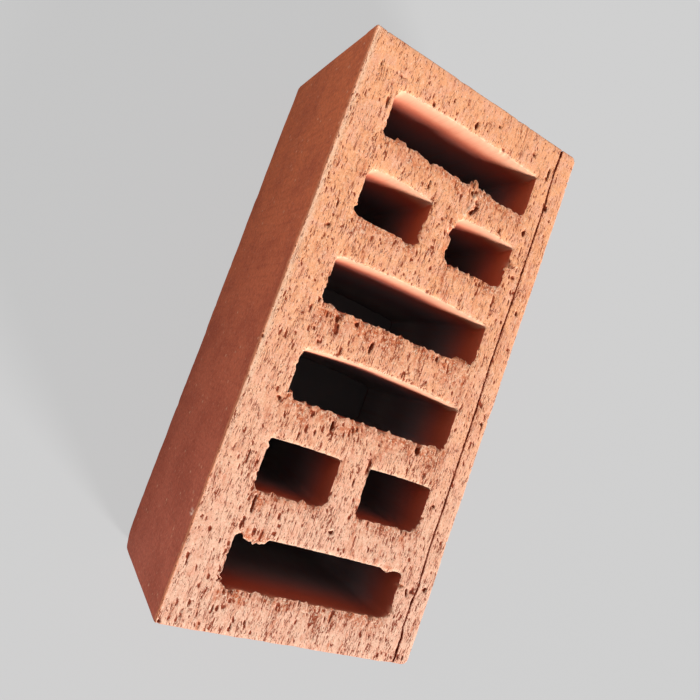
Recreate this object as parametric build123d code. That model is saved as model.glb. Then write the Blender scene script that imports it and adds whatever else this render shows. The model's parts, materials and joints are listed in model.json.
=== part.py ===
from build123d import *
import os

# A fired clay clinker brick, lying on its bed.
# Wet clay is pushed through a die, whose eight cores leave the slots, and a
# wire cuts the column into bricks. So the slots and the rounded arrises run
# straight through the height, and the two beds are the cut faces.
# The origin is at the middle of the lower bed, X runs along the length and
# Y across the width.

# Outside of the brick
brick_length = 250.0
brick_width = 118.0
brick_height = 88.0
arris_radius = 2.5
cut_edge_radius = 0.6

# Walls that the slots leave around them
end_wall = 18.0
side_wall = 18.5
middle_web = 14.5

# Webs between one row of slots and the next, from the -X end to the +X end,
# uneven because the soft clay moved
first_web = 14.6
second_web = 17.2
centre_web = 18.9
fourth_web = 16.7
fifth_web = 17.6
slot_corner_radius = 2.0

# Drying crack in the upper bed, beside the +Y face from end to end
crack_width = 0.8
crack_depth = 7.0
crack_inset = 10.0
crack_wander = 2.2

# How far a cutting solid runs past the face that it leaves
overrun = 2.0

# Each row holds one long slot or a pair of short ones
row_slots = [1, 2, 1, 1, 2, 1]
row_webs = [first_web, second_web, centre_web, fourth_web, fifth_web]

# Where the crack turns, as shares of the length and of its wander
crack_along_shares = [-0.5, -0.46, -0.35, 0.0, 0.24, 0.35, 0.4, 0.44, 0.46, 0.5]
crack_across_shares = [0.3, 0.05, 0.4, 0.3, 0.6, 0.95, 0.6, 0.55, 1.0, 1.0]


def fired_body():
    """The outside of the brick: arrises rounded by the die, edges softened at the cut."""
    section = RectangleRounded(brick_length, brick_width, arris_radius)
    body = extrude(section, amount=brick_height)
    beds = body.faces().sort_by(Axis.Z)
    cut_edges = beds[0].edges() + beds[-1].edges()
    return fillet(cut_edges, cut_edge_radius)


def slot_width():
    """What the end walls and the webs leave for each row."""
    return (brick_length - 2 * end_wall - sum(row_webs)) / len(row_slots)


def row_places():
    """The middle of each row along the length."""
    places = []
    edge = end_wall - brick_length / 2
    for web in row_webs + [end_wall]:
        places.append(edge + slot_width() / 2)
        edge += slot_width() + web
    return places


def slot_outlines():
    """All the slots, as drawn on the lower bed."""
    span = brick_width - 2 * side_wall
    outlines = []
    for along, count in zip(row_places(), row_slots):
        slot_length = (span - (count - 1) * middle_web) / count
        outline = RectangleRounded(slot_width(), slot_length, slot_corner_radius)
        for across in GridLocations(0, slot_length + middle_web, 1, count):
            outlines.append(Pos(along, 0) * across * outline)
    return outlines


def crack_slit():
    """The narrow slit that follows the crack over the upper bed and both ends."""
    line = brick_width / 2 - crack_inset
    turns = []
    for along, across in zip(crack_along_shares, crack_across_shares):
        turns.append((along * brick_length, line + across * crack_wander))
    start = (turns[0][0] - overrun, turns[0][1])
    end = (turns[-1][0] + overrun, turns[-1][1])
    path = [start, *turns, end]
    near_side = [(x, y - crack_width / 2) for x, y in path]
    far_side = [(x, y + crack_width / 2) for x, y in reversed(path)]
    mouth = make_face(Polyline(*near_side, *far_side, close=True))
    slit = extrude(mouth, amount=crack_depth + overrun)
    return Pos(0, 0, brick_height - crack_depth) * slit


brick = fired_body()
for outline in slot_outlines():
    brick -= Pos(0, 0, -overrun) * extrude(outline, amount=brick_height + 2 * overrun)
brick -= crack_slit()

os.makedirs("parts", exist_ok=True)
export_step(brick, "parts/brick.step")
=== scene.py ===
import json
import math
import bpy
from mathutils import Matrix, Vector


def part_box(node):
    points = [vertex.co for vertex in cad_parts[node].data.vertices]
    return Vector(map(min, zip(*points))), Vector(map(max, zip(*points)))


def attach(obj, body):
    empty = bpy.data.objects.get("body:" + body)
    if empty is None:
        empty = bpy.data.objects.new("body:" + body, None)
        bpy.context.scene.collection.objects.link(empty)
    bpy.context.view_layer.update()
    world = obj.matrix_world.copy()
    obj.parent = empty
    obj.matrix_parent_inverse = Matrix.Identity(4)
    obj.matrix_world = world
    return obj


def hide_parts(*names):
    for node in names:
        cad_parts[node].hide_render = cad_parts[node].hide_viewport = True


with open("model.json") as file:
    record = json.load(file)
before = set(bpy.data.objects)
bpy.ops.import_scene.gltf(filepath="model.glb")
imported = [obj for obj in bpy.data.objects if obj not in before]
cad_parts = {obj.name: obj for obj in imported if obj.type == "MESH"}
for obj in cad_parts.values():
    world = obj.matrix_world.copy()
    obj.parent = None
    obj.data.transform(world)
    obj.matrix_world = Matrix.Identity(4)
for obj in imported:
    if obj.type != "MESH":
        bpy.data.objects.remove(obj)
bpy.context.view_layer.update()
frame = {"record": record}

from types import SimpleNamespace

import bpy
import numpy as np
from mathutils import Matrix, Vector

mm = 0.001


# Camera
# It looks down on the upper bed from beyond the -Y face, and it is turned so that
# the -X end of the brick is at the top of the picture.
eye = Vector((0.0273, -0.1370, 0.3288))
aim = Vector((-0.0017, 0.0003, 0.0440))
picture_top = Vector((-0.937, -0.342, -0.069))
back = (eye - aim).normalized()
right = picture_top.cross(back).normalized()
camera = bpy.data.objects.new("camera", bpy.data.cameras.new("camera"))
camera.data.sensor_width = 36
camera.data.lens = 33.45
camera.data.clip_start = 0.01
camera_turn = Matrix((right, back.cross(right), back)).transposed()
camera.matrix_world = Matrix.Translation(eye) @ camera_turn.to_4x4()
bpy.context.scene.collection.objects.link(camera)
bpy.context.scene.camera = camera


# The brick
# One piece of fired clay. Wet clay is pushed through a die, whose cores leave the
# slots, and a wire drags through the column along X and cuts the two beds. Drying
# opens a crack beside the +Y face, and the kiln burns the brick hard.
box_low, box_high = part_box("brick")
outside = (box_low.x, box_low.y, box_high.x, box_high.y)
near_arris_radius = 1.5 * mm
far_arris_radius = 3.0 * mm

# The record's openings stand a little inside the slots
opening_clearance = 0.7 * mm
slots = {}
for opening in frame["record"]["physics"]["openings"]:
    low, high = opening["box_m"]
    slots[opening["name"]] = (low[0] - opening_clearance, low[1] - opening_clearance,
                              high[0] + opening_clearance, high[1] + opening_clearance)

# The cores of the die have worn differently. For each row, from the -X end: how far in
# the ends of the -X side stand, how far it bows out, and the radius of the corners at
# -X -Y, -X +Y, +X -Y and +X +Y, all in mm
core_wear = [
    (1.2, 1.2, 4.4, 1.2, 2.6, 3.0),
    (1.2, 1.2, 4.0, 1.2, 2.6, 3.0),
    (1.6, 1.9, 2.6, 1.2, 2.4, 3.6),
    (1.5, 2.3, 3.0, 1.4, 2.4, 2.6),
    (0.2, 0.3, 1.2, 1.6, 3.2, 3.6),
    (0.5, 0.6, 1.4, 1.4, 4.4, 4.2),
]
widest_corner = max(radius for wear in core_wear for radius in wear[2:]) * mm

# How wide the wire left the -X rim of each row rolled over
rim_rolls = [0.4 * mm, 0.4 * mm, 0.4 * mm, 0.7 * mm, 0, 0]

# Places that are closer than this count as the same
hair = 0.001 * mm


def outward(x, y, rectangle):
    """The direction out of a rectangle at points on its edge."""
    out_x = 1.0 * (x > rectangle[2] - hair) - 1.0 * (x < rectangle[0] + hair)
    out_y = 1.0 * (y > rectangle[3] - hair) - 1.0 * (y < rectangle[1] + hair)
    size = np.maximum(np.hypot(out_x, out_y), 1)
    return out_x / size, out_y / size


def arc_shift(x, y, rectangle, radius):
    """How far points in the corners of a rectangle move to lie on, or inside, an arc."""
    from_middle_x = x - (rectangle[0] + rectangle[2]) / 2
    from_middle_y = y - (rectangle[1] + rectangle[3]) / 2
    near_x = np.clip((abs(from_middle_x) - (rectangle[2] - rectangle[0]) / 2) / radius + 1, 0, 1)
    near_y = np.clip((abs(from_middle_y) - (rectangle[3] - rectangle[1]) / 2) / radius + 1, 0, 1)
    shift_x = np.sign(from_middle_x) * radius * near_x * (np.sqrt(1 - near_y * near_y / 2) - 1)
    shift_y = np.sign(from_middle_y) * radius * near_y * (np.sqrt(1 - near_x * near_x / 2) - 1)
    return shift_x, shift_y


def outside_shift(x, y):
    """How far points round the brick's rectangle move to lie on its rounded arrises."""
    return arc_shift(x, y, outside, np.where(y < 0, near_arris_radius, far_arris_radius))


def row_of(name):
    """The number of a slot's row, from 0 at the -X end."""
    return int(name.split("_")[1]) - 1


def slot_shift(x, y, name):
    """How far points on the edge of a slot's rectangle move to lie on its real outline."""
    x0, y0, x1, y1 = slots[name]
    inset, bow, near_low, near_high, far_low, far_high = core_wear[row_of(name)]
    is_low_y = y < (y0 + y1) / 2
    near_radius = np.where(is_low_y, near_low, near_high)
    far_radius = np.where(is_low_y, far_low, far_high)
    radius = np.where(x < (x0 + x1) / 2, near_radius, far_radius) * mm
    shift_x, shift_y = arc_shift(x, y, slots[name], radius)
    from_middle = 2 * (y - y0) / (y1 - y0) - 1
    bent = inset - bow * (1 - from_middle * from_middle)
    return shift_x + bent * mm * np.clip((x1 - x) / (x1 - x0), 0, 1) ** 2, shift_y


# What the wire does to the wet clay
# It leaves the -X rims of the slots clean and tears the clay beyond their +X rims,
# and it rolls grit along, which leaves short pits in line with X.
noise_cells = 512


def clay_noise(x, y, long, wide, seed):
    """Smooth noise from -1 to 1, with lumps that are long by wide."""
    lattice = np.random.default_rng(seed).uniform(-1, 1, (noise_cells, noise_cells))
    column = np.floor(x / long).astype(int)
    row = np.floor(y / wide).astype(int)
    across = x / long - column
    along = y / wide - row
    across = across * across * (3 - 2 * across)
    along = along * along * (3 - 2 * along)

    def corner(columns_on, rows_on):
        return lattice[(column + columns_on) % noise_cells, (row + rows_on) % noise_cells]

    near = corner(0, 0) * (1 - across) + corner(1, 0) * across
    far = corner(0, 1) * (1 - across) + corner(1, 1) * across
    return near * (1 - along) + far * along


# How far the torn clay reaches beyond each row of slots, from the -X end
torn_reaches = [6.5 * mm, 7 * mm, 11 * mm, 9 * mm, 6.5 * mm, 6 * mm]
torn_margin = 1.5 * mm


def torn_share(x, y, seed):
    """From 0 on sound clay to 1 where the wire tore it."""
    share = np.zeros_like(x)
    for name, (x0, y0, x1, y1) in slots.items():
        reach = torn_reaches[row_of(name)]
        reach = reach * (1 + 0.45 * clay_noise(x, y, 7 * mm, 6 * mm, seed))
        along = np.clip(1.25 - (x - x1) / reach, 0, 1) * (x > x1 - torn_margin)
        from_low_y = np.clip((y - y0 + torn_margin) / (2 * torn_margin), 0, 1)
        from_high_y = np.clip((y1 + torn_margin - y) / (2 * torn_margin), 0, 1)
        share = np.maximum(share, along * (from_low_y * from_high_y))
    patches = 0.8 + 0.6 * clay_noise(x, y, 4.5 * mm, 3.2 * mm, seed + 9)
    return np.clip(share * patches, 0, 1)


# Rims that broke out, or hang into the slot where the distance is negative: the side,
# the place along that side, half the length, and the distance, all in mm
rim_breaks = {
    "row_1_slot": [
        ("+X", -31, 3.4, -2.0),
        ("+X", -23, 5.0, -1.0),
        ("+X", 8.0, 1.4, -2.8),
        ("+X", 10.6, 1.6, -4.0),
        ("+X", 13.4, 1.8, -1.4),
        ("+X", 16.4, 1.5, -2.3),
        ("+X", 19.2, 1.5, -1.5),
        ("-X", 20, 3.0, 0.7),
    ],
    "row_2_slot_minus_y": [
        ("+Y", -57, 6.0, -0.8),
    ],
    "row_2_slot_plus_y": [
        ("-Y", -62.5, 2.6, 2.2),
        ("+Y", -63.5, 2.2, 1.0),
        ("+Y", -59.5, 1.0, -1.2),
    ],
    "row_3_slot": [
        ("+X", -37, 3.0, -0.6),
        ("+X", -30, 2.2, 1.2),
        ("+X", 34, 6.0, -1.8),
    ],
    "row_4_slot": [
        ("+X", -39, 2.2, -3.0),
        ("+X", -1.2, 1.0, 1.0),
        ("+X", 10, 1.8, -1.0),
        ("+X", 27, 1.5, 1.5),
        ("+X", 35, 5.0, -0.9),
    ],
    "row_5_slot_minus_y": [
        ("-Y", 50, 1.2, -0.7),
    ],
    "row_5_slot_plus_y": [
        ("-Y", 62.5, 3.5, -0.9),
        ("+X", 9.5, 2.2, 1.0),
    ],
    "row_6_slot": [
        ("-X", -38, 1.4, 0.9),
        ("-X", -35.6, 1.2, -1.5),
        ("-X", -33.8, 1.3, -2.3),
        ("-X", -31.6, 1.6, -3.0),
        ("-X", -29.2, 1.5, -2.2),
        ("-X", -27.2, 1.3, -1.8),
        ("-X", 30.6, 1.6, -0.7),
        ("-X", 33.4, 2.0, -1.2),
        ("+Y", 91, 1.5, 1.2),
    ],
}
rim_sides = {"+X": (1, 0), "-X": (-1, 0), "+Y": (0, 1), "-Y": (0, -1)}


def rim_tear(x, y, name, seed):
    """How far the rim of a slot is torn out into the clay, or hangs in if negative."""
    x0, y0, x1, y1 = slots[name]
    rough = 0.12 + 0.8 * ((x - x0) / (x1 - x0)) ** 1.5
    tear = (0.6 * clay_noise(x, y, 2.7 * mm, 2.9 * mm, seed)
            + 0.55 * clay_noise(x, y, 1.1 * mm, 1.3 * mm, seed + 1)
            + 0.3 * clay_noise(x, y, 0.7 * mm, 0.7 * mm, seed + 3))
    uneven = np.clip(0.9 + 1.1 * clay_noise(x, y, 4.5 * mm, 4.5 * mm, seed + 6), 0.2, 1.7)
    tear = rough * uneven * tear
    ragged = (0.7 * clay_noise(x, y, 1.6 * mm, 1.5 * mm, seed + 4)
              + 0.5 * clay_noise(x, y, 0.8 * mm, 0.7 * mm, seed + 5))
    out_x, out_y = outward(x, y, slots[name])
    for side, place, half_length, distance in rim_breaks.get(name, []):
        side_x, side_y = rim_sides[side]
        along = y if side_x else x
        on_side = (out_x * side_x + out_y * side_y) > 0.6
        uneven_ends = 0.7 * clay_noise(along, along, 1.5 * mm, 1 * mm, seed + 2)
        share = (along / mm - place + uneven_ends) / half_length
        broken = on_side * np.clip(1.15 * (1 - share * share), 0, 1)
        tear = tear + broken * (distance + 0.45 * abs(distance) ** 0.5 * ragged)
    return tear * mm


# Marks that stand out on the upper bed, in mm: x, y, half the length and half the
# width, the turn from X in degrees, and the depth, negative where clay is raised
bed_marks = [
    (-75.4, 12.7, 2.2, 0.9, -38, 1.0),
    (-77.9, 14.4, 1.5, 0.7, -30, 0.8),
    (-80.1, 13.6, 1.2, 1.1, 60, 0.9),
    (-82.9, 10.1, 1.3, 1.0, 20, 1.0),
    (-84.6, 11.9, 1.0, 1.2, 60, 0.8),
    (-81.5, 8.6, 0.8, 0.5, 0, 0.6),
    (-86.0, 9.4, 0.7, 1.1, 80, 0.5),
    (-85.0, 16.2, 0.8, 0.7, 0, 0.6),
    (-81.8, 11.8, 1.2, 0.8, -20, -0.6),
    (-78.6, 12.0, 1.5, 0.6, -35, -0.5),
    (-75.6, 10.4, 2.6, 0.8, -35, -0.5),
    (-83.6, 14.8, 1.0, 0.9, 0, -0.5),
    (-72.5, 9.8, 1.3, 1.0, -30, -1.0),
    (-65.2, 5.6, 1.2, 0.9, 0, -0.4),
    (-8.0, -31.0, 2.8, 1.7, 8, 0.55),
    (-4.4, -30.4, 4.8, 1.1, 8, 0.45),
    (-111.5, -51.5, 3.6, 0.5, 0, 0.4),
    (-111.4, -42.0, 8.0, 0.5, 90, 0.35),
    (-71.8, -45.5, 4.6, 0.5, 90, 0.35),
    (-111.5, 0.8, 3.0, 0.8, 0, 0.9),
    (-109.0, -22.7, 1.5, 0.8, 0, 0.8),
    (-114.8, 35.0, 1.4, 1.3, 0, 0.6),
    (-117.0, 12.3, 1.0, 1.0, 0, 0.8),
    (-110.5, 46.0, 3.2, 0.7, 0, 0.9),
    (-79.0, 43.2, 2.2, 1.1, -12, 1.1),
    (-74.0, 30.0, 2.0, 0.8, 0, 0.9),
    (-76.8, -11.8, 3.4, 0.5, 0, 0.6),
    (-98.5, -43.2, 4.0, 0.6, 0, 0.8),
    (-94.8, 51.2, 1.7, 1.0, 0, 1.2),
    (-8.0, -22.0, 1.4, 0.9, 0, 1.0),
    (-1.2, -12.0, 2.8, 0.9, 0, 1.2),
    (-8.0, 21.0, 1.2, 1.0, 0, 1.0),
    (4.4, -35.5, 1.8, 0.6, 0, 0.8),
    (30.8, -42.7, 1.2, 1.1, 0, 1.2),
    (35.0, -16.8, 3.2, 0.9, 0, 1.3),
    (32.6, 26.8, 1.8, 1.4, 0, 1.4),
    (45.5, 6.2, 4.6, 0.9, 0, 0.9),
    (75.4, -0.6, 0.9, 1.5, 20, -0.45),
    (76.6, -0.9, 0.9, 1.7, 20, 0.9),
    (77.3, -29.9, 6.3, 0.45, 0, 0.25),
    (73.0, -37.7, 5.0, 0.7, 0, 0.8),
    (54.1, 44.6, 1.0, 1.0, 0, 1.1),
    (90.7, 54.8, 1.9, 1.2, 0, 1.1),
    (93.5, 45.8, 2.4, 0.8, 0, 0.9),
    (11.7, 55.7, 1.1, 1.1, 0, 1.2),
    (-42.8, 54.5, 1.2, 1.3, 0, 1.0),
    (-41.0, -49.0, 1.9, 0.9, -20, 1.0),
    (123.4, -57.4, 1.0, 0.7, 0, 0.8),
    (10.5, -58.2, 0.9, 0.8, 0, 0.7),
]


def mark_depth(x, y, seed):
    """The depth that the bed's marks leave at each point."""
    depth = np.zeros_like(x)
    ragged = 1 + 0.5 * clay_noise(x, y, 1.1 * mm, 0.9 * mm, seed)
    x = x + 0.55 * mm * clay_noise(x, y, 1.6 * mm, 1.4 * mm, seed + 7)
    y = y + 0.45 * mm * clay_noise(x, y, 1.6 * mm, 1.4 * mm, seed + 8)
    for mark_x, mark_y, half_length, half_width, turn, deep in bed_marks:
        cosine, sine = math.cos(math.radians(turn)), math.sin(math.radians(turn))
        from_x, from_y = x / mm - mark_x, y / mm - mark_y
        along = (from_x * cosine + from_y * sine) / half_length
        across = (from_y * cosine - from_x * sine) / half_width
        depth += deep * mm * ragged * np.clip(1 - along ** 2 - across ** 2, 0, 1)
    return depth


def grit_pits(x, y, torn, seed):
    """Depths of the short grooves and pits that grit left as the wire rolled it along X."""
    bent_y = y + 0.4 * mm * clay_noise(x, y, 1.7 * mm, 1.6 * mm, seed)
    grooves = 0.8 * clay_noise(x, bent_y, 3.6 * mm, 0.75 * mm, seed + 1)
    grooves += 0.4 * clay_noise(x, y, 1.5 * mm, 0.75 * mm, seed + 2)
    busy = 0.12 * clay_noise(x, y, 19 * mm, 9 * mm, seed + 3) + 0.10 * x / outside[2] + 0.02 * torn
    shallow = np.clip(grooves - 0.6 + busy, 0, 1)
    return np.minimum(shallow, 0.25 + 0.4 * shallow) * mm


# The crack in the upper bed
# It follows a seam in the clay from end to end beside the +Y face. It wanders a
# little, gapes at both ends, and steps aside near the +X end. The bed's grid has
# lines for its floor, its lips and its banks, this far from a straight line.
crack_line = 50 * mm
crack_half_width = 0.42 * mm
crack_floor = 0.3 * mm
crack_depth = 6.5 * mm
crack_bank = 1.0 * mm
crack_least_half_width = 0.04 * mm

# Its turns, in mm: x, y and the width there
crack_turns = np.array([
    (-125, 49.6, 1.1),
    (-117, 49.1, 0.7),
    (-105, 49.2, 0.45),
    (-97, 50, 0.55),
    (-45, 49.8, 0.5),
    (-15, 49.5, 0.5),
    (6, 50.1, 0.5),
    (58, 50.4, 0.45),
    (70, 50.2, 0.4),
    (85, 50.8, 0.4),
    (90, 51.2, 0.5),
    (97, 50.4, 0.65),
    (109, 50.2, 0.4),
    (113, 51.2, 0.8),
    (125, 51.2, 0.95),
]) * mm
crack_x, crack_y, crack_width = crack_turns.T


# The brick's mesh
# Each bed is a grid that stops at the slots, and rings of points join the two beds
# down the slot walls and the outside.
sharp_edge_radius = 0.35 * mm
soft_edge_radius = 0.5 * mm
lower_edge_radius = 1.0 * mm

# The beds lie a little inside the box, which leaves room for raised clay
bed_level = 0.16 * mm

# How far into the clay a torn rim moves it
tear_fade = 2.8 * mm

# Depths of the fine rings behind the slot rims and behind the outer edges
mouth_depths = (0.6 * mm, 1.4 * mm, 2.8 * mm)
upper_edge_depths = (1.2 * mm, 2.4 * mm, 3.4 * mm, 4.6 * mm, 6.4 * mm)
lower_edge_depths = (1.2 * mm,)

# The finishes, in the order of the brick's materials
CUT, SKIN, WALL = 0, 1, 2
point_groups = []
mark_groups = []
faces = []
face_finishes = []


def add_points(x, y, z, torn=0.0, hollow=0.0, flash=0.0):
    """Adds points with their marks, of the clay and of painted light, and gives back their numbers."""
    first = sum(len(group) for group in point_groups)
    columns = np.broadcast_arrays(x, y, z, torn, hollow, flash)
    point_groups.append(np.stack(columns[:3], 1))
    mark_groups.append(np.stack(columns[3:], 1))
    return first + np.arange(len(columns[0]))


def add_faces(corners, finish, flip=False):
    """Adds faces, one for each row of point numbers."""
    corners = corners[:, ::-1] if flip else corners
    faces.extend(corners.tolist())
    face_finishes.extend([finish] * len(corners))


def join_equal(upper, lower, finish, flip):
    """A band of quads between two rings with as many points."""
    add_faces(np.stack([upper, lower, np.roll(lower, -1), np.roll(upper, -1)], 1), finish, flip)


def way_round(x, y):
    """How far round its ring each point is, from 0 to 1."""
    steps = np.hypot(np.roll(x, -1) - x, np.roll(y, -1) - y)
    return np.concatenate([[0], np.cumsum(steps)])[:-1] / steps.sum()


def join_unequal(upper, upper_way, lower, lower_way, finish, flip):
    """A band of triangles between a ring and one with more or fewer points."""
    upper_way, lower_way = np.append(upper_way, 1), np.append(lower_way, 1)
    triangles = []
    i, j = 0, 0
    while i < len(upper) or j < len(lower):
        here, there = upper[i % len(upper)], lower[j % len(lower)]
        if j == len(lower) or (i < len(upper) and upper_way[i + 1] <= lower_way[j + 1]):
            i += 1
            triangles.append((here, there, upper[i % len(upper)]))
        else:
            j += 1
            triangles.append((here, there, lower[j % len(lower)]))
    add_faces(np.array(triangles), finish, flip)


def lines_between(stops, step):
    """Grid lines that pass through every stop, about a step apart."""
    lines = [stops[0]]
    for start, end in zip(stops, stops[1:]):
        count = max(1, round((end - start) / step))
        lines += list(np.linspace(start, end, count + 1)[1:])
    return np.array(lines)


def loop_round(rectangle, x_lines, y_lines):
    """Points anticlockwise round a rectangle, where the lines meet its edge."""
    x0, y0, x1, y1 = rectangle
    xs = x_lines[(x_lines > x0 + hair) & (x_lines < x1 - hair)]
    ys = y_lines[(y_lines > y0 + hair) & (y_lines < y1 - hair)]
    x = np.concatenate([[x0], xs, [x1], np.full(len(ys), x1), [x1], xs[::-1], [x0], np.full(len(ys), x0)])
    y = np.concatenate([[y0], np.full(len(xs), y0), [y0], ys, [y1], np.full(len(xs), y1), [y1], ys[::-1]])
    return x, y


def lay_grid(bed, x_step, y_step):
    """The bed's flat grid, with lines along every slot side and along the crack."""
    x_stops = sorted({outside[0], outside[2], *[x for slot in slots.values() for x in (slot[0], slot[2])]})
    y_stops = sorted({round(y, 6) for slot in slots.values() for y in (slot[1], slot[3])})
    crack_sides = (-crack_bank, -crack_half_width, -crack_floor, crack_floor, crack_half_width, crack_bank)
    crack_lines = [crack_line + side for side in crack_sides] if bed.is_upper else []
    bed.x_lines = lines_between(x_stops, x_step)
    bed.y_lines = lines_between([outside[1], *y_stops, *crack_lines, outside[3]], y_step)
    grid_x, grid_y = np.meshgrid(bed.x_lines, bed.y_lines, indexing="ij")
    number = np.arange(grid_x.size).reshape(grid_x.shape)
    middle_x = (bed.x_lines[1:] + bed.x_lines[:-1])[:, None] / 2
    middle_y = (bed.y_lines[1:] + bed.y_lines[:-1])[None, :] / 2
    clay = np.ones((len(bed.x_lines) - 1, len(bed.y_lines) - 1), bool)
    for x0, y0, x1, y1 in slots.values():
        clay &= ~((middle_x > x0) & (middle_x < x1) & (middle_y > y0) & (middle_y < y1))
    quads = np.stack([number[:-1, :-1], number[1:, :-1], number[1:, 1:], number[:-1, 1:]], -1)[clay]
    used = np.unique(quads)
    renumber = np.full(grid_x.size, -1)
    renumber[used] = np.arange(len(used))
    bed.quads = renumber[quads]
    bed.at_crossing = renumber[number]
    bed.rest_x, bed.rest_y = grid_x.ravel()[used], grid_y.ravel()[used]


def rim_of(bed, rectangle):
    """The places in the bed's arrays of the points round a rectangle."""
    loop_x, loop_y = loop_round(rectangle, bed.x_lines, bed.y_lines)
    column = np.searchsorted(bed.x_lines, loop_x - hair)
    row = np.searchsorted(bed.y_lines, loop_y - hair)
    return bed.at_crossing[column, row]


def tear_rims(bed):
    """Moves the slot rims, and the clay beside them, with the tears."""
    bed.tears = {}
    for index, (name, slot) in enumerate(slots.items()):
        rim_x, rim_y = np.clip(bed.rest_x, slot[0], slot[2]), np.clip(bed.rest_y, slot[1], slot[3])
        distance = np.hypot(bed.rest_x - rim_x, bed.rest_y - rim_y)
        near = distance < 2.6 * tear_fade
        rim_x, rim_y, distance = rim_x[near], rim_y[near], distance[near]
        out_x, out_y = outward(rim_x, rim_y, slot)
        shift_x, shift_y = slot_shift(rim_x, rim_y, name)
        if bed.is_upper:
            tear = rim_tear(rim_x, rim_y, name, bed.seed + 3 + index)
            tear += rim_rolls[row_of(name)] * np.clip(-out_x, 0, 1)
        else:
            tear = 0.4 * mm * clay_noise(rim_x, rim_y, 3 * mm, 3 * mm, bed.seed + 3 + index)
        fade = np.exp(-(distance / tear_fade) ** 2)
        bed.x[near] += (shift_x + out_x * tear) * fade
        bed.y[near] += (shift_y + out_y * tear) * fade
        roll_over = 0.15 * mm + 0.3 * mm * (out_x < 0)
        bed.drop[near] += np.exp(-distance / (0.9 * mm)) * (roll_over + 0.35 * abs(tear))
        bed.torn[near] = np.maximum(bed.torn[near], np.clip(1.4 * abs(tear) / mm - 0.6, 0, 1) * fade)
        # The -X rims get a painted highlight, and the +X rims pale crumbs
        crumbs = clay_noise(bed.rest_x[near], bed.rest_y[near], 1.3 * mm, 1.1 * mm, bed.seed + 70)
        crumbs = np.clip(0.3 + 1.6 * crumbs, 0, 1.5)
        pale = np.clip(-out_x, 0, 1) + np.clip(out_x, 0, 1) * crumbs
        bed.flash[near] += pale * np.exp(-(distance / (0.5 * mm)) ** 2)
        bed.tears[name] = np.zeros_like(bed.x)
        bed.tears[name][near] = tear


def open_crack(bed):
    """Bends the crack's lines to follow it, parts its lips and sinks its floor."""
    beside = bed.rest_y - crack_line
    side = np.sign(beside)
    follow = np.clip(1 - abs(beside) / (7 * mm), 0, 1)
    bed.y += (np.interp(bed.rest_x, crack_x, crack_y) - crack_line) * follow
    widen = np.interp(bed.rest_x, crack_x, crack_width) / 2 - crack_half_width
    widen = widen + 0.2 * mm * clay_noise(bed.rest_x, side * 5 * mm, 2.1 * mm, 1 * mm, bed.seed + 20)
    widen = widen + 0.16 * mm * clay_noise(bed.rest_x, side * 5 * mm, 0.9 * mm, 1 * mm, bed.seed + 23)
    widen = np.maximum(widen, crack_least_half_width - crack_floor)
    at_mouth = abs(abs(beside) - crack_half_width) < hair
    in_crack = abs(beside) < crack_floor + hair
    bed.y += side * widen * (at_mouth | in_crack)
    deep = crack_depth + 0.8 * mm * clay_noise(bed.rest_x, bed.rest_y, 5 * mm, 5 * mm, bed.seed + 22)
    bed.drop += in_crack * deep + at_mouth * 0.1 * mm
    # The crack's floor and lips are marked for painted shade
    bed.hollow += in_crack * 1.0 + at_mouth * 0.45


def beside_near_face(y):
    """From 0, 3 mm or more away, to 1 at the -Y face."""
    return np.clip(1 - (y - outside[1]) / (3 * mm), 0, 1)


def edge_rounding(y, is_upper):
    """The radius of a bed's outer edge. The upper bed is soft beside the -Y face only."""
    soft = sharp_edge_radius + (soft_edge_radius - sharp_edge_radius) * beside_near_face(y)
    return soft if is_upper else lower_edge_radius


def edge_nick(x, y, seed):
    """How far the outer edge of a bed is worn back, with a nick here and there."""
    wear = 0.1 * (1 + clay_noise(x, y, 2.3 * mm, 2.3 * mm, seed)) * mm
    wear += 0.45 * np.clip(clay_noise(x, y, 7 * mm, 7 * mm, seed + 2) - 0.1, 0, 1) * mm
    wear += 0.6 * np.clip(clay_noise(x, y, 17 * mm, 17 * mm, seed + 4) - 0.15, 0, 1) * mm
    nick = np.clip(clay_noise(x, y, 1.7 * mm, 1.9 * mm, seed + 1) - 0.7, 0, 1) * 3.0 * mm
    return wear * (1 - 0.2 * beside_near_face(y)) + nick * (1 - 0.6 * beside_near_face(y))


def wear_edges(bed):
    """Rounds the arrises, and wears back the outer edge of the bed."""
    near_x = np.minimum(bed.rest_x - outside[0], outside[2] - bed.rest_x)
    near_y = np.minimum(bed.rest_y - outside[1], outside[3] - bed.rest_y)
    bed.edge_distance = np.minimum(near_x, near_y)
    shift_x, shift_y = outside_shift(bed.rest_x, bed.rest_y)
    out_x = np.where(near_x <= bed.edge_distance + hair, np.sign(bed.rest_x), 0)
    out_y = np.where(near_y <= bed.edge_distance + hair, np.sign(bed.rest_y), 0)
    size = np.maximum(np.hypot(out_x, out_y), 1)
    fade = np.exp(-(bed.edge_distance / (2.4 * mm)) ** 2)
    inset = edge_rounding(bed.rest_y, bed.is_upper) + edge_nick(bed.rest_x, bed.rest_y, bed.seed + 15)
    bed.x += shift_x - out_x / size * inset * fade
    bed.y += shift_y - out_y / size * inset * fade


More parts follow.
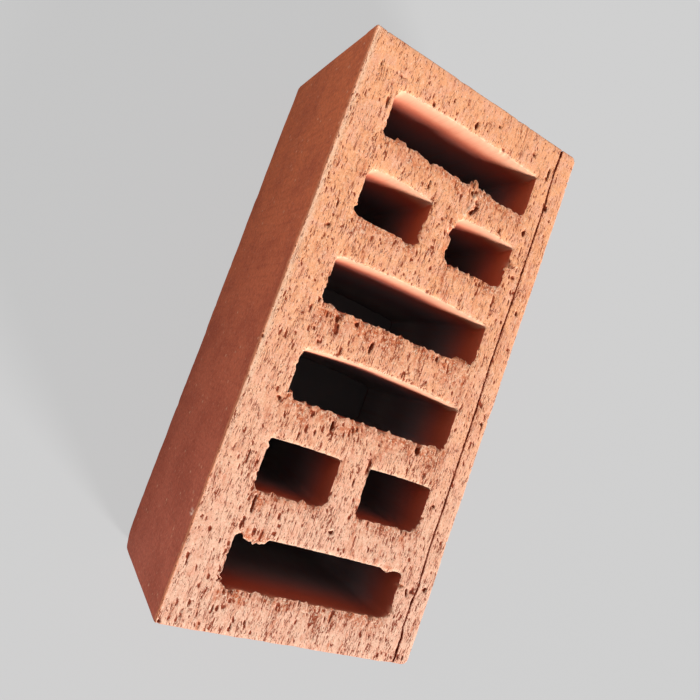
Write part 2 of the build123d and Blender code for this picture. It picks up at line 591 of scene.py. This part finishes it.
def roughen(bed):
    """The relief of the cut face: drag lines, torn lumps, marks and pits."""
    x, y, seed = bed.x, bed.y, bed.seed
    lumps = (0.4 * clay_noise(x, y, 2.6 * mm, 1.7 * mm, seed + 30)
             + 0.4 * clay_noise(x, y, 1.2 * mm, 0.8 * mm, seed + 31)
             + 0.3 * clay_noise(x, y, 0.7 * mm, 0.6 * mm, seed + 37))
    drag = (0.03 * clay_noise(x, y, 16 * mm, 1.0 * mm, seed + 32)
            + 0.025 * clay_noise(x, y, 4 * mm, 1.3 * mm, seed + 33))
    sway = 0.1 * clay_noise(x, y, 35 * mm, 25 * mm, seed + 34)
    grain = 0.02 * clay_noise(x, y, 1.3 * mm, 1.1 * mm, seed + 35)
    torn_depth = bed.torn * (0.1 - 0.15 * lumps) * mm
    marks = mark_depth(x, y, seed + 36) if bed.is_upper else np.zeros_like(x)
    pits = grit_pits(bed.rest_x, bed.rest_y, bed.torn, seed + 50)
    pits = pits * np.clip(bed.edge_distance / (3 * mm), 0.25, 1)
    edge_drop = 0.12 * mm * np.exp(-(bed.edge_distance / (1.3 * mm)) ** 2)
    bed.drop += bed_level - (drag + sway + grain) * mm + torn_depth + marks + pits
    bed.drop += edge_drop * (1 - 0.8 * beside_near_face(bed.rest_y))
    bed.drop = np.clip(bed.drop, 0, None)
    bed.flash = np.maximum(bed.flash, np.clip(-2.6 * marks / mm, 0, 2.2))
    # Sunk places are marked for the darker body's brown and for painted shade
    sunk = 0.9 * np.clip(marks, 0, None) / mm + 3.2 * pits / mm + 0.2 * np.clip(torn_depth, 0, None) / mm
    bed.hollow = np.clip(bed.hollow + sunk, 0, 1)


def add_mouths(bed):
    """The slot walls just behind the rims. Gives back each slot's last ring."""
    last_rings = {}
    for name, slot in slots.items():
        at = rim_of(bed, slot)
        ring = bed.numbers[at]
        rim_x, rim_y = bed.rest_x[at], bed.rest_y[at]
        out_x, out_y = outward(rim_x, rim_y, slot)
        shift_x, shift_y = slot_shift(rim_x, rim_y, name)
        for depth in mouth_depths:
            wall = bed.tears[name][at] * math.exp(-(depth / (1.3 * mm)) ** 1.5)
            ripple = clay_noise(rim_x + rim_y, depth, 1.5 * mm, 1 * mm, bed.seed + 40)
            wall += 0.2 * mm * math.exp(-depth / (2 * mm)) * ripple
            ring_z = bed.z - bed.up * (depth + bed.drop[at] * math.exp(-depth / (2 * mm)))
            # The -X walls carry painted light
            below = add_points(rim_x + shift_x + out_x * wall, rim_y + shift_y + out_y * wall, ring_z,
                               torn=bed.torn[at] * math.exp(-depth / (1 * mm)), flash=np.clip(-out_x, 0, 1))
            join_equal(ring, below, WALL, bed.is_upper)
            ring = below
        last_rings[name] = (ring, way_round(rim_x, rim_y))
    return last_rings


# A chip in the -Y face, in mm: its place along X and below the upper bed, and its size
chip_place = (82.6, 4.2)
chip_size = (1.5, 1.8)


def chip_share(x, y, down, seed):
    """From 0 to 1 in the chip."""
    beside_x, beside_z = (x / mm - chip_place[0]) / chip_size[0], (down / mm - chip_place[1]) / chip_size[1]
    chip = np.exp(-beside_x ** 2 - beside_z ** 2)
    chip = np.clip(chip * (2.2 + 2.4 * clay_noise(x, down, 0.9 * mm, 1.5 * mm, seed)) - 0.9, 0, 1)
    return chip * (y < outside[1] + hair)


def add_outer_edge(bed):
    """The outside just behind the bed's edge, deep enough for the ends of the crack."""
    at = rim_of(bed, outside)
    ring = bed.numbers[at]
    rim_x, rim_y = bed.rest_x[at], bed.rest_y[at]
    out_x, out_y = outward(rim_x, rim_y, outside)
    shift_x, shift_y = outside_shift(rim_x, rim_y)
    nick = edge_nick(rim_x, rim_y, bed.seed + 15)
    edge_radius = edge_rounding(rim_y, bed.is_upper)
    down = bed.drop[at]
    shallow_drop = np.minimum(down, 1.2 * mm)
    straight_depths = upper_edge_depths if bed.is_upper else lower_edge_depths
    for degrees, depth in [(30, 0), (60, 0), (90, 0), *[(90, depth) for depth in straight_depths]]:
        turn = math.radians(degrees)
        inset = edge_radius * (1 - math.sin(turn))
        inset = inset + nick * math.exp(-depth / (0.8 * mm)) * math.cos(turn / 2)
        arc_down = edge_radius * (1 - math.cos(turn)) + depth
        down = np.maximum(down + 0.03 * mm, arc_down + shallow_drop * math.exp(-depth / (1.5 * mm)))
        chip = chip_share(rim_x, rim_y, down, bed.seed + 41) * bed.is_upper
        inset = inset + 0.35 * mm * chip
        below = add_points(rim_x + shift_x - out_x * inset, rim_y + shift_y - out_y * inset,
                           bed.z - bed.up * down, flash=chip)
        join_equal(ring, below, CUT if degrees == 30 else SKIN, not bed.is_upper)
        ring = below
    return ring, way_round(rim_x, rim_y)


def build_bed(z, up, x_step, y_step, seed):
    """One cut bed and the fine rings behind its rims. Gives back each rim's last ring.

    Its points start at rest_x and rest_y on the flat grid, and end at x and y, as far
    inside the box as drop says. Torn and hollow mark the clay at each point, and a third
    mark holds its pale clay and painted light.
    """
    bed = SimpleNamespace(z=z, up=up, seed=seed, is_upper=up > 0)
    lay_grid(bed, x_step, y_step)
    bed.x, bed.y = bed.rest_x.copy(), bed.rest_y.copy()
    bed.torn = torn_share(bed.rest_x, bed.rest_y, seed)
    bed.drop, bed.hollow, bed.flash = np.zeros((3, len(bed.x)))
    tear_rims(bed)
    if bed.is_upper:
        open_crack(bed)
    wear_edges(bed)
    roughen(bed)
    bed.numbers = add_points(bed.x, bed.y, z - up * bed.drop, bed.torn, bed.hollow, bed.flash)
    add_faces(bed.numbers[bed.quads], CUT, not bed.is_upper)
    return {**add_mouths(bed), "outside": add_outer_edge(bed)}


upper_rings = build_bed(box_high.z, up=1, x_step=0.65 * mm, y_step=0.51 * mm, seed=100)
lower_rings = build_bed(box_low.z, up=-1, x_step=1.9 * mm, y_step=1.7 * mm, seed=300)


def side_lines(low, high, corner, step):
    """Places along the side of a rectangle, closer together at its corners."""
    first = lines_between([low, low + corner], corner / 3)
    last = lines_between([high - corner, high], corner / 3)
    return np.concatenate([first[:-1], lines_between([low + corner, high - corner], step), last[1:]])


def join_beds(name, rectangle, outline_shift, corner, step, depths, finish, waviness, seed):
    """Coarse rings from the upper bed's last ring down to the lower one's."""
    x, y = loop_round(rectangle, side_lines(rectangle[0], rectangle[2], corner, step),
                      side_lines(rectangle[1], rectangle[3], corner, step))
    way = way_round(x, y)
    out_x, out_y = outward(x, y, rectangle)
    shift_x, shift_y = outline_shift(x, y)
    is_wall = finish == WALL
    ring, ring_way = upper_rings[name]
    for depth in depths:
        wave = clay_noise(x + y, depth, 14 * mm, 30 * mm, seed)
        wave += 0.5 * clay_noise(x - y, depth, 5 * mm, 40 * mm, seed + 1)
        inset = waviness * (wave if is_wall else abs(wave))
        # Walls on the -X side of a slot carry painted light
        flash = np.clip(-out_x, 0, 1) if is_wall else 0
        below = add_points(x + shift_x - out_x * inset, y + shift_y - out_y * inset,
                           box_high.z - depth, flash=flash)
        join_unequal(ring, ring_way, below, way, finish, is_wall)
        ring, ring_way = below, way
    join_unequal(ring, ring_way, *lower_rings[name], finish, is_wall)


wall_depths = np.array([5, 8, 12, 18, 26, 36, 48, 60, 70, 77, 82]) * mm
for index, (name, slot) in enumerate(slots.items()):
    join_beds(name, slot, lambda x, y: slot_shift(x, y, name), widest_corner, step=3.5 * mm,
              depths=wall_depths, finish=WALL, waviness=0.15 * mm, seed=500 + index)
side_depths = np.array([10, *np.linspace(15, 75, 13), 80, 84]) * mm
join_beds("outside", outside, outside_shift, far_arris_radius, step=5 * mm,
          depths=side_depths, finish=SKIN, waviness=0.12 * mm, seed=600)

# The lower corner at +X -Y is knocked round
knock_depth = 1.1 * mm
knock_width = 4.5 * mm
points = np.concatenate(point_groups)
from_corner = points - np.array((outside[2], outside[1], box_low.z))
knock = knock_depth * np.exp(-(from_corner ** 2).sum(1) / knock_width ** 2)
points += knock[:, None] * np.array((-1, 1, 1))

mesh = bpy.data.meshes.new("fired_brick")
mesh.from_pydata(points.tolist(), [], faces)
mesh.polygons.foreach_set("material_index", np.array(face_finishes, np.int32))
marks = np.concatenate(mark_groups).astype(np.float32)
for column, name in enumerate(("torn", "hollow", "flash")):
    mesh.attributes.new(name, "FLOAT", "POINT").data.foreach_set("value", marks[:, column].copy())

# Faces of torn clay stay flat, so that it looks crumbly
is_torn = marks[:, 0] > 0.3
smooth = [finish != CUT or not is_torn[corners[0]] for corners, finish in zip(faces, face_finishes)]
mesh.polygons.foreach_set("use_smooth", np.array(smooth))
mesh.update()
mesh.set_sharp_from_angle(angle=math.radians(55))
brick = bpy.data.objects.new("fired_brick", mesh)
bpy.context.scene.collection.objects.link(brick)


# Fired clay
# Open, sandy and peach coloured where the wire cut it, denser and redder on the skin
# that the die smoothed. Pits and tears show the darker body, and the pits, the crack and
# the slot walls also carry painted light and shade.
def from_screen(red, green, blue):
    """A colour as seen on a screen, from 0 to 255, for a shader."""

    def linear(value):
        value = value / 255
        return value / 12.92 if value <= 0.04045 else ((value + 0.055) / 1.055) ** 2.4

    return (linear(red), linear(green), linear(blue), 1)


def put(tree, socket, value):
    """Links a socket to another, or gives it a plain value."""
    if isinstance(value, bpy.types.NodeSocket):
        tree.links.new(value, socket)
    else:
        socket.default_value = value


def add_node(tree, kind, inputs=None, **settings):
    """A node with its settings, and with its inputs by name or number."""
    node = tree.nodes.new(kind)
    for name, value in settings.items():
        setattr(node, name, value)
    for name, value in (inputs or {}).items():
        put(tree, node.inputs[name], value)
    return node


def blend(tree, factor, first, second, blend_type="MIX"):
    """The colour between two. The colour sockets of a Mix node are numbers 6 and 7."""
    node = add_node(tree, "ShaderNodeMix", data_type="RGBA", blend_type=blend_type)
    for place, value in ((0, factor), (6, first), (7, second)):
        put(tree, node.inputs[place], value)
    return node.outputs[2]


def calculate(tree, operation, *values, clamp=False):
    """The result of a Math node."""
    node = add_node(tree, "ShaderNodeMath", dict(enumerate(values)), operation=operation, use_clamp=clamp)
    return node.outputs[0]


def tint(tree, colour, paint, mask, strength):
    """A colour with a paint over it, as strong as the mask times the strength."""
    return blend(tree, calculate(tree, "MULTIPLY", mask, strength), colour, paint)


def move_vector(tree, operation, *values):
    """The result of a Vector Math node."""
    return add_node(tree, "ShaderNodeVectorMath", dict(enumerate(values)), operation=operation).outputs[0]


def spread(tree, value, low, high, to_low=0.0, to_high=1.0):
    """Stretches the part of a value between low and high, smoothly."""
    inputs = {"Value": value, "From Min": low, "From Max": high, "To Min": to_low, "To Max": to_high}
    return add_node(tree, "ShaderNodeMapRange", inputs, interpolation_type="SMOOTHSTEP").outputs["Result"]


def lumps_of(tree, vector, size, detail=2.0, roughness=0.5):
    """Noise from 0 to 1 with lumps of a size in metres."""
    inputs = {"Vector": vector, "Scale": 1 / size, "Detail": detail, "Roughness": roughness}
    return add_node(tree, "ShaderNodeTexNoise", inputs).outputs["Fac"]


def place_of(tree):
    """The place on the object in metres, whole and as X, Y and Z."""
    where = add_node(tree, "ShaderNodeTexCoord").outputs["Object"]
    return where, add_node(tree, "ShaderNodeSeparateXYZ", {"Vector": where}).outputs


def mark_of(tree, name):
    """A mark that the mesh carries: torn, hollow, or pale clay and painted light."""
    return add_node(tree, "ShaderNodeAttribute", attribute_name=name).outputs["Fac"]


def new_material(name):
    """A material and its empty node tree."""
    material = bpy.data.materials.new(name)
    material.use_nodes = True
    material.node_tree.nodes.clear()
    return material, material.node_tree


def new_group(name, inputs, outputs):
    """A shader node group, its inputs as outputs of a node, and its results as inputs of one."""
    group = bpy.data.node_groups.new(name, "ShaderNodeTree")
    for label, kind in inputs.items():
        group.interface.new_socket(label, in_out="INPUT", socket_type=kind)
    for label in outputs:
        group.interface.new_socket(label, in_out="OUTPUT", socket_type="NodeSocketFloat")
    return group, add_node(group, "NodeGroupInput").outputs, add_node(group, "NodeGroupOutput").inputs


def use_group(tree, group, inputs):
    """Places a group in a tree and gives back its outputs."""
    node = add_node(tree, "ShaderNodeGroup", node_tree=group)
    for name, value in inputs.items():
        put(tree, node.inputs[name], value)
    return node.outputs


# Grit pits: short pits in line with the first axis of the vector
pit_group, given, result = new_group(
    "grit_pits", {"Vector": "NodeSocketVector", "Length": "NodeSocketFloat", "Width": "NodeSocketFloat",
                  "Share": "NodeSocketFloat"}, ["Pit"])
wobble = add_node(pit_group, "ShaderNodeTexNoise", {"Vector": given["Vector"], "Scale": 1 / (0.7 * mm)})
cell = add_node(pit_group, "ShaderNodeCombineXYZ",
                {"X": given["Length"], "Y": given["Width"], "Z": given["Width"]})
in_cells = move_vector(pit_group, "DIVIDE", given["Vector"], cell.outputs[0])
bent = move_vector(pit_group, "MULTIPLY_ADD", wobble.outputs["Color"], (0.55, 0.55, 0.55), in_cells)
cells = add_node(pit_group, "ShaderNodeTexVoronoi", {"Vector": bent, "Scale": 1.0})
chance = add_node(pit_group, "ShaderNodeSeparateColor", {"Color": cells.outputs["Color"]})
there = calculate(pit_group, "LESS_THAN", chance.outputs["Red"], given["Share"])
reach = calculate(pit_group, "MULTIPLY_ADD", chance.outputs["Green"], 0.3, 0.12)
depth = calculate(pit_group, "SUBTRACT", reach, cells.outputs["Distance"])
depth = calculate(pit_group, "MULTIPLY", depth, 5.0, clamp=True)
put(pit_group, result["Pit"], calculate(pit_group, "MULTIPLY", depth, there))

# Clay grain: the fine sandy surface, as a height and as a shade
grain_group, given, result = new_group(
    "clay_grain", {"Vector": "NodeSocketVector", "Size": "NodeSocketFloat"}, ["Height", "Shade"])
sizes = add_node(grain_group, "ShaderNodeCombineXYZ",
                 {"X": given["Size"], "Y": given["Size"], "Z": given["Size"]})
in_grains = move_vector(grain_group, "DIVIDE", given["Vector"], sizes.outputs[0])
grain = lumps_of(grain_group, in_grains, 1.0, 3.0, 0.6)
put(grain_group, result["Height"], grain)
put(grain_group, result["Shade"], spread(grain_group, grain, 0.3, 0.7))
full_shade = (1, 1, 1, 1)


def fired_surface(tree, colour, height, bump_depth, roughness, gloss):
    """Ends a material with its shader, whose normal follows the fine relief."""
    bump = add_node(tree, "ShaderNodeBump", {"Height": height, "Distance": bump_depth, "Strength": 1.0})
    inputs = {"Base Color": colour, "Roughness": roughness, "Specular IOR Level": gloss,
              "Normal": bump.outputs[0]}
    shader = add_node(tree, "ShaderNodeBsdfPrincipled", inputs)
    add_node(tree, "ShaderNodeOutputMaterial", {"Surface": shader.outputs[0]})


# Cut face
orange_clay = from_screen(255, 182, 134)
pink_clay = from_screen(255, 205, 178)
rose_clay = from_screen(250, 184, 156)
stain_clay = from_screen(204, 102, 56)
torn_clay = from_screen(200, 106, 64)
crumb_clay = from_screen(255, 228, 200)
rounding_painted_shade = from_screen(248, 146, 98)
pit_brown_and_painted_shade = from_screen(142, 50, 10)
painted_deep_shade = from_screen(64, 26, 16)
grain_shade = (0.68, 0.46, 0.3, 1)

cut_clay, tree = new_material("cut_clay")
where, apart = place_of(tree)
torn = mark_of(tree, "torn")
hollow = mark_of(tree, "hollow")
along_wire = move_vector(tree, "MULTIPLY", where, (0.28, 1, 1))
grain = use_group(tree, grain_group, {"Vector": where, "Size": 0.5 * mm})

# Orange at the -X end and pinker towards +X, with rosier patches
towards_end = calculate(tree, "MULTIPLY_ADD", lumps_of(tree, where, 30 * mm), 80 * mm, apart["X"])
colour = blend(tree, spread(tree, towards_end, -20 * mm, 160 * mm), orange_clay, pink_clay)
patches = spread(tree, lumps_of(tree, where, 5 * mm, 3, 0.6), 0.42, 0.66)
colour = tint(tree, colour, rose_clay, patches, 0.55)

# Redder lines that the wire dragged out, more of them towards +X
drawn = lumps_of(tree, along_wire, 0.7 * mm, 3, 0.7)
rougher = spread(tree, apart["X"], -114 * mm, -70 * mm, 0.35, 0.75)
rougher = calculate(tree, "MULTIPLY_ADD", spread(tree, apart["X"], 96 * mm, 112 * mm), 0.3, rougher)
from_middle = calculate(tree, "ABSOLUTE", apart["Y"])
rougher = calculate(tree, "MULTIPLY", rougher, spread(tree, from_middle, 40 * mm, 47 * mm, 1, 0.75))
lines = calculate(tree, "MULTIPLY", spread(tree, drawn, 0.52, 0.66), rougher)
colour = tint(tree, colour, stain_clay, lines, 0.5)
pale_lines = calculate(tree, "MULTIPLY", spread(tree, drawn, 0.34, 0.46, 1, 0), rougher)
colour = tint(tree, colour, crumb_clay, pale_lines, 0.4)
stains = spread(tree, lumps_of(tree, along_wire, 3.2 * mm, 4, 0.7), 0.52, 0.7)
stains = calculate(tree, "MULTIPLY", stains, rougher)
torn_stains = spread(tree, lumps_of(tree, where, 2.2 * mm, 3, 0.65), 0.46, 0.6)
torn_stains = calculate(tree, "MULTIPLY", torn, torn_stains)
stains = calculate(tree, "MULTIPLY_ADD", torn_stains, 1.15, stains)
colour = blend(tree, calculate(tree, "MULTIPLY", stains, 0.8, clamp=True), colour, stain_clay)

# The edge beside the -Y face, worn pale towards -X, and redder where it rounds off into the shade, as
# painted shade
worn_edge = calculate(tree, "MULTIPLY", spread(tree, apart["Y"], -58 * mm, -55 * mm, 0.5, 0),
                      spread(tree, apart["X"], 10 * mm, 80 * mm, 1, 0))
colour = blend(tree, worn_edge, colour, crumb_clay)
colour = blend(tree, spread(tree, apart["Y"], -58.8 * mm, -57.6 * mm, 0.85, 0), colour, rounding_painted_shade)

# Small marks where single grains tore out, in clusters, with pale crumbs between. Their dark brown is partly
# painted shade.
busy = spread(tree, lumps_of(tree, along_wire, 2.4 * mm, 3, 0.65), 0.44, 0.64)
busy = calculate(tree, "MULTIPLY", busy, spread(tree, lumps_of(tree, where, 11 * mm, 2), 0.35, 0.65, 0.3, 1))
busy = calculate(tree, "MULTIPLY", busy, rougher)
busy = calculate(tree, "MULTIPLY_ADD", torn, 0.06, busy)
wobble = add_node(tree, "ShaderNodeTexNoise", {"Vector": where, "Scale": 1 / (1.3 * mm), "Detail": 2.0})
bent = move_vector(tree, "MULTIPLY_ADD", wobble.outputs["Color"], (2.0 * mm, 1.1 * mm, 0), where)
dashes = lumps_of(tree, move_vector(tree, "MULTIPLY", bent, (0.24, 1, 1)), 0.55 * mm, 4, 0.7)
dark = spread(tree, calculate(tree, "MULTIPLY_ADD", busy, 0.19, dashes), 0.595, 0.645)
colour = tint(tree, colour, pit_brown_and_painted_shade, dark, 0.95)
pale = calculate(tree, "MULTIPLY", spread(tree, dashes, 0.34, 0.43, 0.9, 0),
                 calculate(tree, "MULTIPLY_ADD", busy, 0.7, 0.4), clamp=True)
colour = blend(tree, pale, colour, crumb_clay)

# Thin scratches in line with X, dark brown and partly painted shade
scratches = lumps_of(tree, move_vector(tree, "MULTIPLY", where, (0.1, 1, 1)), 1.5 * mm, 2, 0.6)
scratches = calculate(tree, "ABSOLUTE", calculate(tree, "SUBTRACT", scratches, 0.5))
scratches = calculate(tree, "MULTIPLY", spread(tree, scratches, 0.0, 0.035, 1, 0),
                      spread(tree, lumps_of(tree, along_wire, 3 * mm, 2), 0.5, 0.6))
colour = tint(tree, colour, pit_brown_and_painted_shade, scratches, 0.85)

# Clay that tore, pale crumbs, and pits, whose dark brown is partly painted shade
broken = spread(tree, lumps_of(tree, where, 1.0 * mm, 3, 0.7), 0.46, 0.58, 0, 0.65)
colour = tint(tree, colour, torn_clay, torn, broken)
crumbs = spread(tree, lumps_of(tree, where, 0.9 * mm, 2, 0.6), 0.56, 0.68)
crumbs = calculate(tree, "MULTIPLY", crumbs, calculate(tree, "MULTIPLY_ADD", torn, 0.5, 0.35), clamp=True)
colour = blend(tree, crumbs, colour, crumb_clay)
share = spread(tree, apart["X"], -120 * mm, 120 * mm, 0.12, 0.3)
long_pits = use_group(tree, pit_group,
                      {"Vector": where, "Length": 3.2 * mm, "Width": 0.6 * mm, "Share": share})
small_pits = use_group(tree, pit_group,
                       {"Vector": where, "Length": 1.8 * mm, "Width": 0.55 * mm, "Share": share})
pits = calculate(tree, "MAXIMUM", long_pits["Pit"], small_pits["Pit"])
colour = tint(tree, colour, pit_brown_and_painted_shade, pits, 0.9)
# Hollows of the mesh get a brown that is partly the darker body and partly painted shade, and the crack's
# floor a near black painted shade
ragged = lumps_of(tree, where, 0.7 * mm, 3, 0.7)
hollow = calculate(tree, "MULTIPLY_ADD", calculate(tree, "SUBTRACT", ragged, 0.5), 0.9, hollow)
colour = blend(tree, spread(tree, hollow, 0.12, 0.42, 0, 0.95), colour, pit_brown_and_painted_shade)
colour = blend(tree, spread(tree, hollow, 0.8, 1.2), colour, painted_deep_shade)
# Pale crumbs on raised marks and at the +X rims, and a painted highlight along the -X rims
colour = tint(tree, colour, crumb_clay, mark_of(tree, "flash"), 0.4)
shade = blend(tree, grain["Shade"], grain_shade, full_shade)
colour = blend(tree, 0.45, colour, shade, "MULTIPLY")
height = calculate(tree, "MULTIPLY_ADD", grain["Height"], 0.22, calculate(tree, "MULTIPLY", scratches, -0.3))
height = calculate(tree, "MULTIPLY_ADD", drawn, -0.12, height)
height = calculate(tree, "MULTIPLY_ADD", dark, -0.3, height)
height = calculate(tree, "MULTIPLY_ADD", pits, -0.5, height)
fired_surface(tree, colour, height, bump_depth=0.2 * mm, roughness=0.92, gloss=0.25)

# Skin from the die
skin_orange = from_screen(203, 103, 58)
skin_brown = from_screen(181, 88, 63)
skin_dark = from_screen(149, 60, 35)
worn_edge_and_painted_light = from_screen(218, 140, 100)
chip_clay = from_screen(246, 208, 184)
skin_speck = from_screen(214, 156, 124)
skin_shade = (0.56, 0.52, 0.48, 1)

die_skin, tree = new_material("die_skin")
where, apart = place_of(tree)
grain = use_group(tree, grain_group, {"Vector": where, "Size": 1.4 * mm})
colour = blend(tree, spread(tree, apart["X"], -120 * mm, 100 * mm), skin_orange, skin_brown)
clouds = lumps_of(tree, where, 22 * mm, 4, 0.6)
colour = blend(tree, spread(tree, clouds, 0.4, 0.7, 0, 0.5), colour, skin_dark)
mottle = lumps_of(tree, where, 2.6 * mm, 4, 0.7)
colour = blend(tree, spread(tree, mottle, 0.5, 0.7, 0, 0.5), colour, skin_dark)
streaks = lumps_of(tree, move_vector(tree, "MULTIPLY", where, (1, 1, 0.06)), 1.6 * mm, 3, 0.6)
colour = blend(tree, spread(tree, streaks, 0.45, 0.75, 0, 0.3), colour, skin_dark)
dust = spread(tree, lumps_of(tree, where, 1.1 * mm, 3, 0.7), 0.58, 0.72)
colour = tint(tree, colour, skin_speck, dust, 0.4)
specks = use_group(tree, pit_group,
                   {"Vector": where, "Length": 2.5 * mm, "Width": 2.5 * mm, "Share": 0.06})
colour = tint(tree, colour, skin_speck, specks["Pit"], 0.75)
shade = blend(tree, grain["Shade"], skin_shade, full_shade)
colour = blend(tree, 0.6, colour, shade, "MULTIPLY")
# A pale band along the bed edges: worn clay, and a painted highlight where the arrises round off
from_bed = calculate(tree, "MINIMUM", calculate(tree, "SUBTRACT", box_high.z, apart["Z"]), apart["Z"])
from_bed = calculate(tree, "MULTIPLY_ADD", mottle, 2.4 * mm, from_bed)
colour = blend(tree, spread(tree, from_bed, 1.3 * mm, 2.9 * mm, 0.7, 0), colour, worn_edge_and_painted_light)
colour = blend(tree, mark_of(tree, "flash"), colour, chip_clay)
height = calculate(tree, "MULTIPLY_ADD", grain["Height"], 0.6, calculate(tree, "MULTIPLY", streaks, 0.4))
fired_surface(tree, colour, height, bump_depth=0.25 * mm, roughness=0.82, gloss=0.3)

# Slot walls, pale on the -X sides near the rims as painted light, and red at the rims turning grey deeper in
# as painted shade
painted_light_and_torn_peach = from_screen(232, 172, 138)
wall_red = from_screen(194, 92, 60)
wall_brown = from_screen(160, 74, 52)
painted_shade_grey = from_screen(134, 126, 130)
deeper_painted_shade_grey = from_screen(170, 166, 168)

slot_wall, tree = new_material("slot_wall")
where, apart = place_of(tree)

# How deep in the slot. Close to the lower bed it counts up from there, much faster
from_lower_bed = calculate(tree, "MULTIPLY", apart["Z"], 40.0)
into_slot = calculate(tree, "MINIMUM", calculate(tree, "SUBTRACT", box_high.z, apart["Z"]), from_lower_bed)
into_slot = calculate(tree, "MULTIPLY_ADD", lumps_of(tree, where, 12 * mm), 4 * mm, into_slot)
rim_colour = blend(tree, spread(tree, apart["X"], -90 * mm, 90 * mm), wall_red, wall_brown)
# Painted shade: the walls turn from red to grey with depth
colour = blend(tree, spread(tree, into_slot, 8 * mm, 40 * mm), rim_colour, painted_shade_grey)
colour = blend(tree, spread(tree, into_slot, 45 * mm, 72 * mm), colour, deeper_painted_shade_grey)
# Painted light on the -X walls, which face the main lamp, fading with depth
flash = calculate(tree, "MULTIPLY", mark_of(tree, "flash"), spread(tree, into_slot, 3 * mm, 16 * mm, 1, 0))
colour = blend(tree, flash, colour, painted_light_and_torn_peach)
colour = blend(tree, mark_of(tree, "torn"), colour, painted_light_and_torn_peach)
grain = use_group(tree, grain_group, {"Vector": where, "Size": 1.0 * mm})
streaks = lumps_of(tree, move_vector(tree, "MULTIPLY", where, (1, 1, 0.05)), 1.4 * mm, 3, 0.6)
colour = blend(tree, spread(tree, streaks, 0.45, 0.8, 0, 0.2), colour, rim_colour)
height = calculate(tree, "MULTIPLY_ADD", grain["Height"], 0.5, calculate(tree, "MULTIPLY", streaks, 0.15))
fired_surface(tree, colour, height, bump_depth=0.15 * mm, roughness=0.85, gloss=0.25)

for material in (cut_clay, die_skin, slot_wall):
    mesh.materials.append(material)
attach(brick, "root")
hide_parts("brick")


# Floor and light
# A plain pale floor and backdrop, a low soft lamp beyond the +X and +Y faces, a weak
# wide one on the other side, a weak level one before the -Y face, and an even fill.
floor_grey = from_screen(207, 207, 207)
painted_shade_under_brick = from_screen(134, 134, 136)
floor_reach = 3.0
floor_glow = 0.86
shade_inset = 4 * mm
fill_strength = 0.26
floor_mesh = bpy.data.meshes.new("floor")
floor_corners = [(x * floor_reach, y * floor_reach, 0) for x, y in ((-1, -1), (1, -1), (1, 1), (-1, 1))]
floor_mesh.from_pydata(floor_corners, [], [(0, 1, 2, 3)])
floor = bpy.data.objects.new("floor", floor_mesh)
bpy.context.scene.collection.objects.link(floor)


def seen_rays(tree):
    """1 for rays that show the backdrop, and 0 for rays that carry light."""
    ray = add_node(tree, "ShaderNodeLightPath").outputs
    seen = calculate(tree, "MAXIMUM", ray["Is Camera Ray"], ray["Is Glossy Ray"])
    return calculate(tree, "MAXIMUM", seen, ray["Is Transmission Ray"])


pale_floor, tree = new_material("pale_floor")
where, apart = place_of(tree)
inside_x = calculate(tree, "LESS_THAN", calculate(tree, "ABSOLUTE", apart["X"]), box_high.x - shade_inset)
inside_y = calculate(tree, "LESS_THAN", calculate(tree, "ABSOLUTE", apart["Y"]), box_high.y - shade_inset)
under_brick = calculate(tree, "MULTIPLY", inside_x, inside_y)
# Under the brick the floor is a darker grey, painted shade seen through the slots
paint_colour = blend(tree, under_brick, floor_grey, painted_shade_under_brick)
paint = add_node(tree, "ShaderNodeBsdfDiffuse", {"Color": paint_colour})
glow = add_node(tree, "ShaderNodeEmission", {"Color": floor_grey, "Strength": 1.0})
glow_share = calculate(tree, "SUBTRACT", floor_glow, under_brick)
seen = calculate(tree, "MULTIPLY", seen_rays(tree), glow_share, clamp=True)
both = add_node(tree, "ShaderNodeMixShader", {0: seen, 1: paint.outputs[0], 2: glow.outputs[0]})
add_node(tree, "ShaderNodeOutputMaterial", {"Surface": both.outputs[0]})
floor_mesh.materials.append(pale_floor)


def add_lamp(name, towards, strength, width_in_degrees):
    """A distant lamp that stands in a direction and shines back at the brick."""
    lamp = bpy.data.objects.new(name, bpy.data.lights.new(name, "SUN"))
    lamp.data.energy = strength
    lamp.data.angle = math.radians(width_in_degrees)
    lamp.rotation_mode = "QUATERNION"
    lamp.rotation_quaternion = Vector(towards).to_track_quat("Z", "Y")
    bpy.context.scene.collection.objects.link(lamp)


add_lamp("main_lamp", towards=(1.65, 1.9, 1.0), strength=6.4, width_in_degrees=16)
add_lamp("fill_lamp", towards=(-0.6, -1.0, 0.25), strength=0.6, width_in_degrees=60)
add_lamp("side_lamp", towards=(-0.2, -1.0, 0.0), strength=0.8, width_in_degrees=4)

world = bpy.data.worlds.new("world")
world.use_nodes = True
tree = world.node_tree
tree.nodes.clear()
even_light = add_node(tree, "ShaderNodeBackground", {"Color": (1, 1, 1, 1), "Strength": fill_strength})
backdrop = add_node(tree, "ShaderNodeBackground", {"Color": floor_grey, "Strength": 1.0})
seen = seen_rays(tree)
both = add_node(tree, "ShaderNodeMixShader", {0: seen, 1: even_light.outputs[0], 2: backdrop.outputs[0]})
add_node(tree, "ShaderNodeOutputWorld", {"Surface": both.outputs[0]})
bpy.context.scene.world = world
bpy.context.scene.view_settings.view_transform = "Standard"
